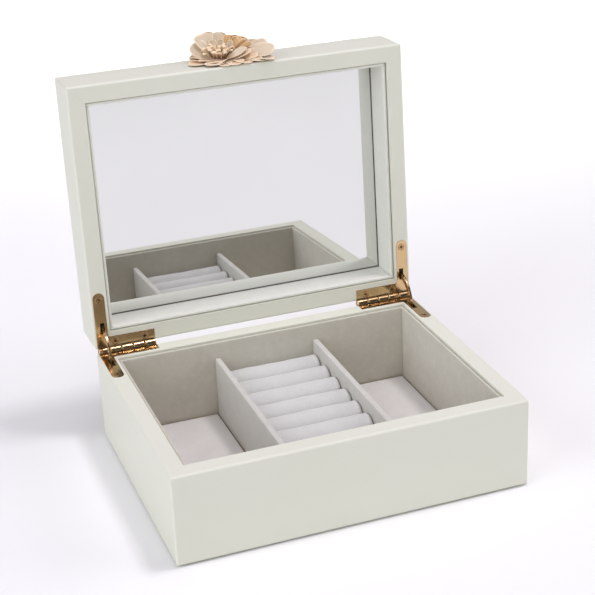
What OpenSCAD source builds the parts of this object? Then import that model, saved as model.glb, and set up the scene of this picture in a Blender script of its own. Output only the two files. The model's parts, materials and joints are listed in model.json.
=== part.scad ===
// Lacquered wooden jewellery box with a mirror in its hinged lid, standing open.
// X is the width, +Y is the hinge side, +Z is up. The origin is the middle of the underside.
// Lid pieces are drawn shut, over the base, and at_lid() then swings them open.

/* [Box] */
// Width of the box, left to right
box_w = 180; // [150:1:240]
// Depth of the box, front to back
box_d = 140; // [116:1:190]
// Height of the base from the table to its rim
base_h = 47.4; // [42:0.2:70]
// Height of the lid from its rim to its top
lid_h = 27.8; // [25:0.2:45]
// Thickness of the walls
wall_t = 9; // [8:0.1:12]
// Thickness of the lid's top panel
lid_top_t = 6; // [4:0.5:8]
// Radius of the rounded outer edges
edge_r = 1.2; // [0.6:0.1:2]
// Gap between the two rims when the box is shut
rim_gap = 0.3; // [0.2:0.05:0.6]
// How far the lid stands open
lid_open = 92.9; // [85:0.1:100]

/* [Bottom] */
// Thickness of the felt sheet under the base
felt_t = 0.8; // [0.4:0.1:1.5]
// Distance from the outer faces to the edge of the felt
felt_inset = 3; // [1.5:0.5:8]
// Thickness of the bottom panel
bottom_t = 3; // [2:0.5:5]
// Depth of the rebate that the bottom panel sits in
rebate = 4; // [2:0.5:5]
// Clearance round panels that are let in
panel_fit = 0.15; // [0.05:0.05:0.4]

/* [Lining] */
// Thickness of the fabric-covered lining boards
liner_t = 1.5; // [1:0.1:2.5]
// Gap between the lining and the walls
liner_gap = 0.4; // [0.2:0.1:0.8]
// How far the lining stops below the base's rim
base_liner_drop = 1; // [1:0.1:4]
// How far the lining stops short of the lid's rim
lid_liner_drop = 0.8; // [0.4:0.1:2]
// Radius of the fabric-covered edges
soft_r = 0.5; // [0.2:0.1:0.7]
// Thickness of the floor pads at their edges
pad_t = 1.4; // [1:0.1:3]
// How much the floor pads swell in the middle
pad_crown = 0.9; // [0.3:0.1:1.5]
// Clearance round the loose-laid pads and dividers
soft_fit = 0.15; // [0.05:0.05:0.4]

/* [Compartments] */
// Clear width of the middle compartment
middle_w = 52.4; // [40:0.2:64]
// Thickness of the dividers
divider_t = 3.2; // [2:0.1:5]
// Height of the dividers above the bottom panel
divider_h = 33.8; // [26:0.2:37]

/* [Ring rolls] */
// Number of ring rolls, front to back
roll_count = 8; // [5:1:12]
// Height of the roll tops above the bottom panel
roll_top = 27.5; // [22:0.5:30]
// How much each roll is squeezed flat by its neighbours
roll_squeeze = 0.3; // [0.1:0.1:0.8]
// Gap between the roll ends and the dividers
roll_end_gap = 0.7; // [0.3:0.1:2]
// Radius of the rounded roll ends
roll_end_r = 1.6; // [0.8:0.1:3]

/* [Mirror] */
// Thickness of the mirror glass
mirror_t = 2; // [1.5:0.1:3]
// Thickness of the adhesive board behind the mirror
mirror_pad_t = 1; // [0.5:0.1:2]
// How far the adhesive board stops short of the mirror's edge
mirror_pad_inset = 8; // [4:1:20]

/* [Hinges] */
// Length of each leg of the L-shaped leaves
leaf_len = 31; // [28:0.5:36]
// Width of the legs
leg_w = 6.2; // [5.8:0.1:7]
// Thickness of the leaves
leaf_t = 1.2; // [0.8:0.1:1.5]
// Radius inside the corner of the leaves
leaf_fillet = 1.2; // [0.5:0.1:2]
// Clearance round the leaves in the wood
leaf_fit = 0.05; // [0.02:0.01:0.15]
// Diameter of the barrel
barrel_d = 4.6; // [4:0.1:5.5]
// Distance of the hinge axis behind the back face
barrel_out = 1.6; // [1.2:0.1:2]
// Number of knuckles in the barrel
knuckles = 5; // [3:2:7]
// Gap between neighbouring knuckles
knuckle_gap = 0.3; // [0.1:0.02:0.4]
// Chamfer round each end of a knuckle
knuckle_ease = 0.25; // [0.1:0.05:0.4]
// Clearance round the barrel in leaves and wood
barrel_clear = 0.25; // [0.15:0.05:0.4]
// Diameter of the hinge pins
pin_d = 2.1; // [1.6:0.1:2.4]
// Running clearance of the pins, all round
pin_fit = 0.05; // [0.02:0.01:0.08]

/* [Lid stays] */
// Inner radius of the curved stays about the hinge axis
stay_r_in = 10.2; // [8.5:0.1:10.5]
// Outer radius of the curved stays
stay_r_out = 13.2; // [12.5:0.1:14]
// Thickness of the stays
stay_t = 1.2; // [0.8:0.1:1.6]
// Distance of the stays from the middle of the side legs, inwards
stay_inset = 0.6; // [0:0.1:0.8]
// Width of the slots that the stays run in
slot_w = 2.4; // [2:0.1:3]
// Gap between the stays and the inner ends of the slots
slot_end_gap = 0.4; // [0.2:0.1:1]
// Reach of the slot in the base leaf, from the axis
base_slot_r = 18.2; // [16:0.1:19]
// Reach of the slot in the lid leaf, from the axis
lid_slot_r = 16; // [15:0.1:19]
// Diameter of the stop pins through the ends of the stays
stop_d = 1.6; // [1.2:0.1:1.8]
// Length of the stop pins
stop_len = 4.2; // [3.6:0.1:4.6]
// Play of the stop pins under the leaves when the lid is open
stop_play = 0.06; // [0.04:0.01:0.15]

/* [Screws] */
// Diameter of the screw heads
head_d = 3.6; // [3:0.1:4]
// Height of the countersunk heads
head_h = 0.9; // [0.7:0.1:1]
// Diameter of the screw shanks
shank_d = 1.8; // [1.4:0.1:2.2]
// Length of the screws under their heads
screw_len = 8; // [5:0.5:12]
// Clearance of the screws in leaves and wood
screw_fit = 0.04; // [0.02:0.01:0.08]
// Distance of the front screw from the tip of the side leg
tip_screw = 4; // [3.5:0.1:6]
// Distance of the inner screw from the end of the back leg
inner_screw = 5.6; // [3.5:0.1:8]
// Distance of the corner screw from the outer end of the barrel
corner_screw = 9.6; // [9.2:0.1:13]

/* [Flower] */
// Distance of the flower from the middle of the box, to the left
flower_left = 1; // [0:0.5:10]
// Number of outer petals
outer_petals_n = 6; // [4:1:8]
// Length of the outer petals
outer_petal_l = 20.5; // [16:0.5:24]
// Width of the outer petals
outer_petal_w = 20; // [14:0.5:22]
// Number of inner petals
inner_petals_n = 5; // [4:1:7]
// Length of the inner petals
inner_petal_l = 13.5; // [11:0.5:15]
// Width of the inner petals
inner_petal_w = 11; // [8:0.5:13]
// Thickness of the petal fabric
petal_t = 0.5; // [0.3:0.1:0.8]
// Number of stamens
stamens_n = 11; // [5:1:16]
// Length of the stamens
stamen_l = 6.5; // [5:0.5:9]
// Diameter of the stamen heads
stamen_head_d = 1.8; // [1.2:0.1:2]

/* [Hidden] */
$fn = 48;

cut = 1;
lacquer = [0.92, 0.91, 0.85];
suede = [0.68, 0.66, 0.62];
velvet = [0.84, 0.82, 0.81];
rose_gold = [0.86, 0.62, 0.48];
peach = [0.93, 0.79, 0.66];

in_x = box_w / 2 - wall_t;
in_y = box_d / 2 - wall_t;
panel_top = felt_t + bottom_t;
liner_out_x = in_x - liner_gap;
liner_out_y = in_y - liner_gap;
liner_in_x = liner_out_x - liner_t;
liner_in_y = liner_out_y - liner_t;
divider_x = (middle_w + divider_t) / 2;

lid_rim = base_h + rim_gap;
lid_top = lid_rim + lid_h;
lid_ceiling = lid_top - lid_top_t;
mirror_back = lid_ceiling - mirror_pad_t;
mirror_face = mirror_back - mirror_t;

axis_y = box_d / 2 + barrel_out;
axis_z = base_h + rim_gap / 2;
barrel_r = barrel_d / 2;
leg_x = box_w / 2 - wall_t / 2;
hinge_out = leg_x + leg_w / 2;
hinge_in = hinge_out - leaf_len;
knuckle_w = leaf_len / knuckles;
leaf_back = -barrel_r - barrel_clear;
leg_back_y = -barrel_out - leg_w / 2;
leg_front_y = -barrel_out - leg_w;
tip_y = -barrel_out - leaf_len;

stay_r = (stay_r_in + stay_r_out) / 2;
eye_r = (stay_r_out - stay_r_in) / 2 + 0.2;
stop_drop = rim_gap / 2 + leaf_t + stop_d / 2 + stop_play;
stop_angle = asin(stop_drop / stay_r);
stay_sweep = lid_open + 2 * stop_angle;
pocket_w = stop_len + 0.8;
pocket_back = -barrel_out - 2.4;
slot_back = slot_end_gap - stay_r_in;
stay_x = leg_x - stay_inset;

roll_pitch = 2 * liner_in_y / roll_count;
roll_r = (roll_pitch + roll_squeeze) / 2;
roll_len = middle_w - 2 * roll_end_gap;
roll_axis_z = panel_top + roll_top - roll_r;
roll_base_top = roll_axis_z - roll_r + roll_squeeze;

felt_disc_t = 0.7;
petal_root = 3;
layer_gap = 1.2;
root_rise = 0.5;
inner_petal_z = felt_disc_t + layer_gap + petal_t + root_rise;
stamen_z = inner_petal_z + 2 * petal_t;
stamen_hub_r = petal_root * 0.7;

// Corner left over when a radius r is rolled into a square corner at the origin
module round_off(r) {
    difference() {
        translate([-cut, -cut]) square(r + cut);
        translate([r, r]) circle(r);
    }
}

// Rectangle from the origin with its own radius at the low and the high corners of its left side
module edged_strip(w, h, r_low, r_high) {
    difference() {
        square([w, h]);
        if (r_low > 0) round_off(r_low);
        if (r_high > 0) translate([0, h]) mirror([0, 1]) round_off(r_high);
    }
}

// Rectangle centred on x, its two upper corners rounded
module topped_strip(w, h, r) {
    difference() {
        translate([-w / 2, 0]) square([w, h]);
        for (side = [0, 1]) mirror([side, 0]) translate([-w / 2, h]) mirror([0, 1]) round_off(r);
    }
}

// Rectangle centred on the origin with all corners rounded
module rounded_plan(w, d, r) {
    difference() {
        square([w, d], center = true);
        for (x = [0, 1], y = [0, 1]) mirror([x, 0]) mirror([0, y])
            translate([-w / 2, -d / 2]) round_off(r);
    }
}

// Stands a flat shape up: its x runs along +Y, its y along +Z, and it is pulled along X
module along_x(length) {
    translate([-length / 2, 0, 0]) rotate([90, 0, 90]) linear_extrude(length) children();
}

// Wall on the front side with mitred ends; run is its outer length, across the box's other size
module mitred_wall(run, across, z, h, r_low, r_high) {
    intersection() {
        translate([0, -across / 2, z]) along_x(run) edged_strip(wall_t, h, r_low, r_high);
        translate([0, 0, z - cut]) linear_extrude(h + 2 * cut) intersection() {
            translate([0, -across / 2]) polygon([[-run / 2, 0], [run / 2, 0],
                [run / 2 - wall_t, wall_t], [-run / 2 + wall_t, wall_t]]);
            rounded_plan(run, across, edge_r);
        }
    }
}

// Swings what is drawn shut over the base to where it stands with the lid open
module at_lid() {
    translate([0, axis_y, axis_z]) rotate([-lid_open, 0, 0])
        translate([0, -axis_y, -axis_z]) children();
}

// Puts what is drawn about the hinge axis for the right hinge onto either side of the base
module at_hinge(side) {
    translate([0, axis_y, axis_z]) mirror([side < 0 ? 1 : 0, 0, 0]) children();
}

// The same for the lid's half of the hinge, which is the base's half turned over
module at_lid_hinge(side) {
    at_lid() at_hinge(side) mirror([0, 0, 1]) children();
}

// Rod along X from x, with its axis at y and z
module rod(x, length, r, y = 0, z = 0) {
    translate([x, y, z]) rotate([0, 90, 0]) cylinder(r = r, h = length);
}

// Outline of a leaf, grown by fit, its back edge at y = back
module leaf_plan(fit, back) {
    leg_tip = tip_y + leg_w / 2;
    inner_x = leg_x - leg_w / 2 - fit;
    translate([inner_x, leg_tip]) square([leg_w + 2 * fit, back - leg_tip]);
    translate([leg_x, leg_tip]) circle(leg_w / 2 + fit);
    translate([hinge_in - fit, leg_front_y - fit]) square([leaf_len + 2 * fit, back - leg_front_y + fit]);
    translate([inner_x, leg_front_y - fit]) rotate(180) difference() {
        translate([-fit, -fit]) square(leaf_fillet + fit);
        translate([leaf_fillet, leaf_fillet]) circle(leaf_fillet);
    }
}

// Centres of the three screws of a leaf
function screw_places() = [[leg_x, tip_y + tip_screw], [hinge_in + inner_screw, leg_back_y],
    [hinge_out - corner_screw, leg_back_y]];

// Countersunk screw body with its head's top at z = 0, grown by fit
module screw_body(fit) {
    translate([0, 0, -head_h]) cylinder(r1 = shank_d / 2 + fit, r2 = head_d / 2 + fit, h = head_h);
    translate([0, 0, -head_h - screw_len]) cylinder(r = shank_d / 2 + fit, h = screw_len + cut / 2);
}

// Screw with a cross recess
module screw() {
    recess = head_d * 0.55;
    groove = head_d * 0.13;
    difference() {
        screw_body(0);
        for (turn = [0, 90]) rotate(turn)
            translate([-recess / 2, -groove / 2, -head_h * 0.7]) cube([recess, groove, head_h]);
    }
}

// One knuckle about the X axis, chamfered at both ends
module knuckle(x, width) {
    end_r = barrel_r - knuckle_ease;
    translate([x, 0, 0]) rotate([0, 90, 0]) rotate_extrude()
        polygon([[0, 0], [end_r, 0], [barrel_r, knuckle_ease], [barrel_r, width - knuckle_ease],
            [end_r, width], [0, width]]);
}

// Leaf with every second knuckle, the first of them number first
module hinge_leaf(first, slot_r) {
    leaf_top = -rim_gap / 2;
    color(rose_gold) difference() {
        union() {
            translate([0, 0, leaf_top - leaf_t]) linear_extrude(leaf_t) leaf_plan(0, leaf_back);
            for (i = [first : 2 : knuckles - 1]) {
                x = hinge_in + i * knuckle_w + knuckle_gap / 2;
                knuckle(x, knuckle_w - knuckle_gap);
                translate([x, leaf_back - cut, leaf_top - leaf_t])
                    cube([knuckle_w - knuckle_gap, -leaf_back + cut, leaf_t]);
            }
        }
        rod(hinge_in - cut, leaf_len + 2 * cut, pin_d / 2 + pin_fit);
        translate([stay_x - slot_w / 2, -slot_r, leaf_top - leaf_t - cut])
            cube([slot_w, slot_r + slot_back, leaf_t + 2 * cut]);
        for (place = screw_places()) translate([place.x, place.y, leaf_top]) screw_body(screw_fit);
    }
}

// What the wood loses to one hinge: the leaf's bed, the barrel's groove, the stay's pocket
module hinge_bed(slot_r) {
    leaf_top = -rim_gap / 2;
    translate([0, 0, leaf_top - leaf_t]) linear_extrude(leaf_t + cut) leaf_plan(leaf_fit, 0);
    rod(hinge_in - barrel_clear, leaf_len + 2 * barrel_clear, barrel_r + barrel_clear);
    intersection() {
        rod(stay_x - pocket_w / 2, pocket_w, slot_r);
        translate([stay_x - pocket_w, -slot_r - cut, -slot_r - cut])
            cube([2 * pocket_w, slot_r + cut + pocket_back, slot_r + cut + leaf_top - leaf_t / 2]);
    }
    for (place = screw_places()) translate([place.x, place.y, leaf_top]) screw_body(screw_fit);
}

// Ring-shaped arc about the hinge axis, from just under the base leaf to just behind the lid leaf
module stay_strap() {
    rotate([90, 0, 90]) rotate([0, 0, 180 - lid_open - stop_angle])
        rotate_extrude(angle = stay_sweep) translate([stay_r_in, -stay_t / 2])
            square([stay_r_out - stay_r_in, stay_t]);
}

// Rods along X at both stop pins' places, from the middle of the stay outwards
module stop_rods(length, r) {
    for (turn = [stop_angle, -lid_open - stop_angle])
        rotate([turn, 0, 0]) rod(-length / 2, length, r, -stay_r);
}

module stay() {
    translate([stay_x, 0, 0]) color(rose_gold) difference() {
        union() {
            stay_strap();
            stop_rods(stay_t, eye_r);
        }
        stop_rods(stay_t + 2 * cut, stop_d / 2);
    }
}

module stop_pins() {
    translate([stay_x, 0, 0]) color(rose_gold) stop_rods(stop_len, stop_d / 2);
}

// Bottom of the base
module bottom_felt() {
    color([0.35, 0.33, 0.31]) linear_extrude(felt_t)
        rounded_plan(box_w - 2 * felt_inset, box_d - 2 * felt_inset, edge_r);
}

module base_bottom_panel() {
    let_in = 2 * (rebate - panel_fit);
    color([0.72, 0.6, 0.45]) translate([-in_x - let_in / 2, -in_y - let_in / 2, felt_t])
        cube([2 * in_x + let_in, 2 * in_y + let_in, bottom_t]);
}

// Walls of the base: turn 0 is the front wall, 90 the right one
module base_wall(turn) {
    run = turn % 180 == 0 ? box_w : box_d;
    across = turn % 180 == 0 ? box_d : box_w;
    color(lacquer) difference() {
        rotate(turn) mitred_wall(run, across, felt_t, base_h - felt_t, edge_r, edge_r);
        translate([-in_x - rebate, -in_y - rebate, felt_t - cut])
            cube([2 * (in_x + rebate), 2 * (in_y + rebate), bottom_t + cut]);
        if (turn != 0) for (side = [-1, 1]) if (turn == 180 || side == sign(180 - turn))
            at_hinge(side) hinge_bed(base_slot_r);
    }
}

// Lining board along a wall of the given turn, between the heights low and high
module lining(turn, low, high) {
    ends = turn % 180 == 0 ? liner_out_x : liner_in_y;
    place = turn % 180 == 0 ? liner_in_y : liner_in_x;
    color(suede) rotate(turn) translate([0, -place - liner_t / 2, (low + high) / 2])
        along_x(2 * ends) rounded_plan(liner_t, high - low, soft_r);
}

module base_lining(turn) {
    lining(turn, panel_top, base_h - base_liner_drop);
}

module divider(side) {
    color(velvet) translate([side * divider_x, 0, panel_top]) rotate(90)
        along_x(2 * (liner_in_y - soft_fit)) topped_strip(divider_t, divider_h, 2 * soft_r);
}

// Strip centred on x that swells from h at its ends to h + crown over most of its width
module crowned_strip(w, h, crown) {
    steps = 16;
    top = [for (i = [0 : steps]) let (x = 2 * i / steps - 1) [x * w / 2, h + crown * (1 - pow(x, 4))]];
    polygon(concat([[w / 2, 0], [-w / 2, 0]], top));
}

module floor_pad(side) {
    inner = divider_x + divider_t / 2 + soft_fit;
    outer = liner_in_x - soft_fit;
    d = 2 * (liner_in_y - soft_fit);
    color(velvet) translate([side * (inner + outer) / 2, 0, panel_top]) intersection() {
        along_x(outer - inner) crowned_strip(d, pad_t, pad_crown);
        rotate(90) along_x(d) crowned_strip(outer - inner, pad_t, pad_crown);
    }
}

// Middle compartment
module roll_base() {
    w = middle_w - 2 * soft_fit;
    d = 2 * (liner_in_y - soft_fit);
    color(suede) translate([-w / 2, -d / 2, panel_top]) cube([w, d, roll_base_top - panel_top]);
}

// Velvet roll, number 1 at the back, flattened by its neighbours and by the base it lies on
module ring_roll(number) {
    y = liner_in_y - (number - 0.5) * roll_pitch;
    color(velvet) translate([0, y, roll_axis_z]) intersection() {
        rotate([0, 90, 0]) rotate_extrude() rotate(-90) topped_strip(roll_len, roll_r, roll_end_r);
        translate([-roll_len, -roll_pitch / 2 + soft_fit / 4, roll_base_top - roll_axis_z])
            cube([2 * roll_len, roll_pitch - soft_fit / 2, 2 * roll_r]);
    }
}

// Lid
module lid_top_panel() {
    at_lid() color(lacquer) translate([0, 0, lid_ceiling]) intersection() {
        along_x(box_w) topped_strip(box_d, lid_top_t, edge_r);
        rotate(90) along_x(box_d) topped_strip(box_w, lid_top_t, edge_r);
        translate([0, 0, -cut]) linear_extrude(lid_top_t + 2 * cut) rounded_plan(box_w, box_d, edge_r);
    }
}

module lid_wall(turn) {
    run = turn % 180 == 0 ? box_w : box_d;
    across = turn % 180 == 0 ? box_d : box_w;
    at_lid() color(lacquer) difference() {
        rotate(turn) mitred_wall(run, across, lid_rim, lid_ceiling - lid_rim, edge_r, 0);
        if (turn != 0) for (side = [-1, 1]) if (turn == 180 || side == sign(180 - turn))
            at_hinge(side) mirror([0, 0, 1]) hinge_bed(lid_slot_r);
    }
}

module mirror_backing() {
    w = 2 * (in_x - mirror_pad_inset);
    d = 2 * (in_y - mirror_pad_inset);
    at_lid() color([0.5, 0.48, 0.45]) translate([-w / 2, -d / 2, mirror_back]) cube([w, d, mirror_pad_t]);
}

module mirror_glass() {
    w = 2 * (in_x - panel_fit);
    d = 2 * (in_y - panel_fit);
    at_lid() color([0.75, 0.8, 0.85]) translate([-w / 2, -d / 2, mirror_face]) cube([w, d, mirror_t]);
}

// Drawn upside down, because the lid's lining has its free edge at the rim
module lid_lining(turn) {
    at_lid() translate([0, 0, mirror_face]) mirror([0, 0, 1])
        lining(turn, 0, mirror_face - lid_rim - lid_liner_drop);
}

// Places a flower piece, drawn with its face along +z, on the lid's front wall
module at_flower() {
    at_lid() translate([-flower_left, -box_d / 2, lid_rim + lid_h / 2]) rotate([90, 0, 0]) children();
}

// How steeply the petals rise in a direction: they stand up at the back left and lie flat in front
function petal_slope(turn) = 0.05 + 0.62 * pow((1 + cos(turn - 105)) / 2, 2);

// Half of a petal's width at s, full in the middle and narrow at the root and the tip
function petal_half(s, w) = w / 2 * pow(sin(5 + 157 * s), 0.65);

// Point of a petal at s along it and t from -1 to 1 across it; it keeps within half its share of
// the circle, and its height depends on its place only, apart from a ripple smaller than layer_gap
function petal_point(s, t, turn, share, l, w, z, slope) =
    let (x = petal_root * 0.75 + l * s * (1 - 0.12 * t * t) * (1 - 0.25 * petal_slope(turn)),
         y = min(petal_half(s, w), x * tan(share / 2 - 2)) * t,
         r = norm([x, y]),
         aim = turn + atan2(y, x))
    [r * cos(aim), r * sin(aim),
     z + (slope + petal_slope(aim)) * r * r / l + 0.25 * s * sin(300 * t + 40 * s)];

// Closed thin shell on the petal's surface, rows along it and columns across it
module petal(turn, share, l, w, z, slope) {
    rows = 6;
    columns = 8;
    across = columns + 1;
    layer = (rows + 1) * across;
    points = [for (face = [0, 1], i = [0 : rows], j = [0 : columns])
        petal_point(i / rows, 2 * j / columns - 1, turn, share, l, w, z, slope) + [0, 0, face * petal_t]];
    spans = [for (i = [0 : rows - 1], j = [0 : columns - 1]) i * across + j];
    rim = concat([for (j = [0 : columns - 1]) j], [for (i = [0 : rows - 1]) i * across + columns],
        [for (j = [columns : -1 : 1]) rows * across + j], [for (i = [rows : -1 : 1]) i * across]);
    faces = concat(
        [for (a = spans) [a, a + across, a + 1]],
        [for (a = spans) [a + 1, a + across, a + across + 1]],
        [for (a = spans) [layer + a, layer + a + 1, layer + a + across]],
        [for (a = spans) [layer + a + 1, layer + a + across + 1, layer + a + across]],
        [for (k = [0 : len(rim) - 1]) let (a = rim[k], b = rim[(k + 1) % len(rim)]) [a, b, layer + b]],
        [for (k = [0 : len(rim) - 1]) let (a = rim[k], b = rim[(k + 1) % len(rim)]) [a, layer + b, layer + a]]);
    polyhedron(points, faces, convexity = 4);
}

// Petals spread evenly from the first direction on
module petal_ring(count, first, l, w, z, slope) {
    share = 360 / count;
    for (i = [0 : count - 1]) petal(first + share * i, share, l, w, z, slope);
}

module flower_backing() {
    at_flower() color(peach) cylinder(r = outer_petal_l / 2, h = felt_disc_t);
}

// Two layers of outer petals on one hub, the upper ones over the gaps of the lower ones
module flower_outer_petals() {
    lower = ceil(outer_petals_n / 2);
    at_flower() color(peach) {
        petal_ring(lower, 20, outer_petal_l, outer_petal_w, felt_disc_t, 0);
        petal_ring(outer_petals_n - lower, 80, outer_petal_l, outer_petal_w, felt_disc_t + layer_gap, 0);
        translate([0, 0, felt_disc_t]) cylinder(r = petal_root, h = inner_petal_z - felt_disc_t);
    }
}

module flower_inner_petals() {
    at_flower() color([0.9, 0.72, 0.57]) {
        petal_ring(inner_petals_n, 50, inner_petal_l, inner_petal_w, inner_petal_z, 0.45);
        translate([0, 0, inner_petal_z]) cylinder(r = petal_root, h = stamen_z - inner_petal_z);
    }
}

// Stamens in a spiral on a small hub, leaning outwards more and more
module flower_stamens() {
    stem_r = stamen_head_d / 6;
    spread = (stamen_hub_r - stem_r) / sqrt(stamens_n);
    at_flower() color([0.95, 0.85, 0.7]) translate([0, 0, stamen_z]) {
        cylinder(r = stamen_hub_r, h = petal_t);
        for (i = [0.5 : stamens_n - 0.5])
            rotate(137.5 * i) translate([spread * sqrt(i), 0, petal_t / 2]) rotate([0, 8 * sqrt(i), 0]) {
                cylinder(r = stem_r, h = stamen_l, $fn = 16);
                translate([0, 0, stamen_l]) sphere(d = stamen_head_d, $fn = 24);
            }
    }
}

module hinge_pin() {
    color(rose_gold) rod(hinge_in + knuckle_gap, leaf_len - 2 * knuckle_gap, pin_d / 2);
}

module leaf_screws() {
    color(rose_gold) for (place = screw_places()) translate([place.x, place.y, -rim_gap / 2]) screw();
}

bottom_felt();
base_bottom_panel();
base_wall(0);  // base_front_wall
base_wall(90);  // base_right_wall
base_wall(180);  // base_back_wall
base_wall(270);  // base_left_wall
base_lining(0);  // base_front_lining
base_lining(90);  // base_right_lining
base_lining(180);  // base_back_lining
base_lining(270);  // base_left_lining
divider(-1);  // left_divider
divider(1);  // right_divider
floor_pad(-1);  // left_floor_pad
floor_pad(1);  // right_floor_pad
roll_base();
for (i = [1 : roll_count]) ring_roll(i);
lid_top_panel();
lid_wall(0);  // lid_front_wall
lid_wall(90);  // lid_right_wall
lid_wall(180);  // lid_back_wall
lid_wall(270);  // lid_left_wall
mirror_backing();
mirror_glass();  // mirror
lid_lining(0);  // lid_front_lining
lid_lining(90);  // lid_right_lining
lid_lining(180);  // lid_back_lining
lid_lining(270);  // lid_left_lining
flower_backing();
flower_outer_petals();
flower_inner_petals();
flower_stamens();
at_hinge(-1) hinge_leaf(0, base_slot_r);  // left_base_leaf
at_hinge(1) hinge_leaf(0, base_slot_r);  // right_base_leaf
at_lid_hinge(-1) hinge_leaf(1, lid_slot_r);  // left_lid_leaf
at_lid_hinge(1) hinge_leaf(1, lid_slot_r);  // right_lid_leaf
at_hinge(-1) hinge_pin();  // left_hinge_pin
at_hinge(1) hinge_pin();  // right_hinge_pin
at_hinge(-1) leaf_screws();  // left_base_leaf_screws
at_hinge(1) leaf_screws();  // right_base_leaf_screws
at_lid_hinge(-1) leaf_screws();  // left_lid_leaf_screws
at_lid_hinge(1) leaf_screws();  // right_lid_leaf_screws
at_hinge(-1) stay();  // left_stay
at_hinge(1) stay();  // right_stay
at_hinge(-1) stop_pins();  // left_stay_stop_pins
at_hinge(1) stop_pins();  // right_stay_stop_pins
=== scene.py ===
# Dresses the jewellery box: lacquered boards, cloth lining, velvet rolls and pads, mirror,
# rose gold hinges and the cloth flower. Metres; X right, +Y the hinge side, Z up.
import json
import math
import random

import bmesh
import bpy
from mathutils import Matrix, Vector, noise


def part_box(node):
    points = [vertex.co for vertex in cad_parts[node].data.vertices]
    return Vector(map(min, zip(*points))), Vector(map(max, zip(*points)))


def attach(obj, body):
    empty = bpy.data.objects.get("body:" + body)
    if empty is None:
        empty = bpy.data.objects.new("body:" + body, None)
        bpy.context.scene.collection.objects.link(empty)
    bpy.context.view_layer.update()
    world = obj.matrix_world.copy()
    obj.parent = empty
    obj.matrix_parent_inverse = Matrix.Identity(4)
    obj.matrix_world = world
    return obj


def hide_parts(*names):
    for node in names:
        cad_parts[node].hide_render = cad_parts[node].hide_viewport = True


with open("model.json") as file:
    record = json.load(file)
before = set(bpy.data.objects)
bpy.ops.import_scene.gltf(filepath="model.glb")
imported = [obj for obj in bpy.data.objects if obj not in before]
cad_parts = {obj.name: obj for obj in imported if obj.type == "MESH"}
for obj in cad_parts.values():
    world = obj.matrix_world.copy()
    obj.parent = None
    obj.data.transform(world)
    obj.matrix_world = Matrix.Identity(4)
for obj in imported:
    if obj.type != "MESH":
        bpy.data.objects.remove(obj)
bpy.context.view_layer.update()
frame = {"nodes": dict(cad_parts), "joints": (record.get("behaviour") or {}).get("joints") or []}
cad = frame["nodes"]

MM = 0.001
LID_HINGE = next(joint for joint in frame["joints"] if joint["name"] == "lid_hinge")
HINGE_AXIS = Vector(LID_HINGE["pos_m"])
LID_OPEN = math.radians(LID_HINGE["range_deg"][1])


def rgb(red, green, blue):
    """Linear colour of an sRGB one given in 0 to 255."""
    shares = [value / 255 for value in (red, green, blue)]
    return tuple(((v + 0.055) / 1.055) ** 2.4 if v > 0.04045 else v / 12.92 for v in shares) + (1,)


def swing_open(place):
    """Where a point drawn with the lid shut stands when the lid is open."""
    turn = Matrix.Rotation(-LID_OPEN, 3, "X")
    return HINGE_AXIS + turn @ (Vector(place) - HINGE_AXIS)


def shut_box(node):
    """Lowest and highest corner of a lid node while the lid is shut."""
    turn = Matrix.Rotation(LID_OPEN, 3, "X")
    places = [HINGE_AXIS + turn @ (vert.co - HINGE_AXIS) for vert in cad[node].data.vertices]
    lowest = Vector(min(place[axis] for place in places) for axis in range(3))
    highest = Vector(max(place[axis] for place in places) for axis in range(3))
    return lowest, highest


# Camera, fitted to the corners of the box. Pixels are those of the square photograph
PHOTO_SIDE = 595
FOCAL_PIXELS = 1551.99
LENS_AXIS_COLUMN = 330
SENSOR_WIDTH = 36
CAMERA_AT = (-0.229551, -0.660302, 0.395607)
CAMERA_YAW, CAMERA_PITCH, CAMERA_ROLL = (math.radians(angle) for angle in (20.346, 23.605, -2.108))


def place_camera():
    """Camera that looks along its yaw, from +Y towards +X, and its pitch, downwards."""
    yaw, pitch, roll = CAMERA_YAW, CAMERA_PITCH, CAMERA_ROLL
    ahead = Vector((math.sin(yaw) * math.cos(pitch), math.cos(yaw) * math.cos(pitch), -math.sin(pitch)))
    level = Vector((math.cos(yaw), -math.sin(yaw), 0))
    above = level.cross(ahead)
    right = math.cos(roll) * level + math.sin(roll) * above
    up = -math.sin(roll) * level + math.cos(roll) * above
    turn = Matrix((right, up, -ahead)).transposed().to_4x4()
    lens = bpy.data.cameras.new("camera")
    lens.sensor_width = SENSOR_WIDTH
    lens.lens = FOCAL_PIXELS / PHOTO_SIDE * SENSOR_WIDTH
    lens.shift_x = (PHOTO_SIDE / 2 - LENS_AXIS_COLUMN) / PHOTO_SIDE
    lens.clip_start, lens.clip_end = 0.01, 50
    camera = bpy.data.objects.new("camera", lens)
    camera.matrix_world = Matrix.Translation(CAMERA_AT) @ turn
    bpy.context.collection.objects.link(camera)
    bpy.context.scene.camera = camera


place_camera()


# Light
def soft_light(name, side, distance, size, power, tint=(1, 1, 1), aim=(0, 0, 0), spread=180):
    """Square light that faces a point from one side of it and spreads over this many degrees."""
    lamp = bpy.data.lights.new(name, "AREA")
    lamp.shape, lamp.size = "SQUARE", size
    lamp.energy, lamp.color, lamp.spread = power, tint, math.radians(spread)
    body = bpy.data.objects.new(name, lamp)
    body.location = Vector(aim) + Vector(side).normalized() * distance
    body.rotation_euler = Vector(side).to_track_quat("Z", "Y").to_euler()
    bpy.context.collection.objects.link(body)


def dim_room(strength):
    """Even, weak white light from all round."""
    room = bpy.data.worlds.new("studio")
    room.use_nodes = True
    background = room.node_tree.nodes["Background"]
    background.inputs["Color"].default_value = (1, 1, 1, 1)
    background.inputs["Strength"].default_value = strength
    bpy.context.scene.world = room


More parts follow.
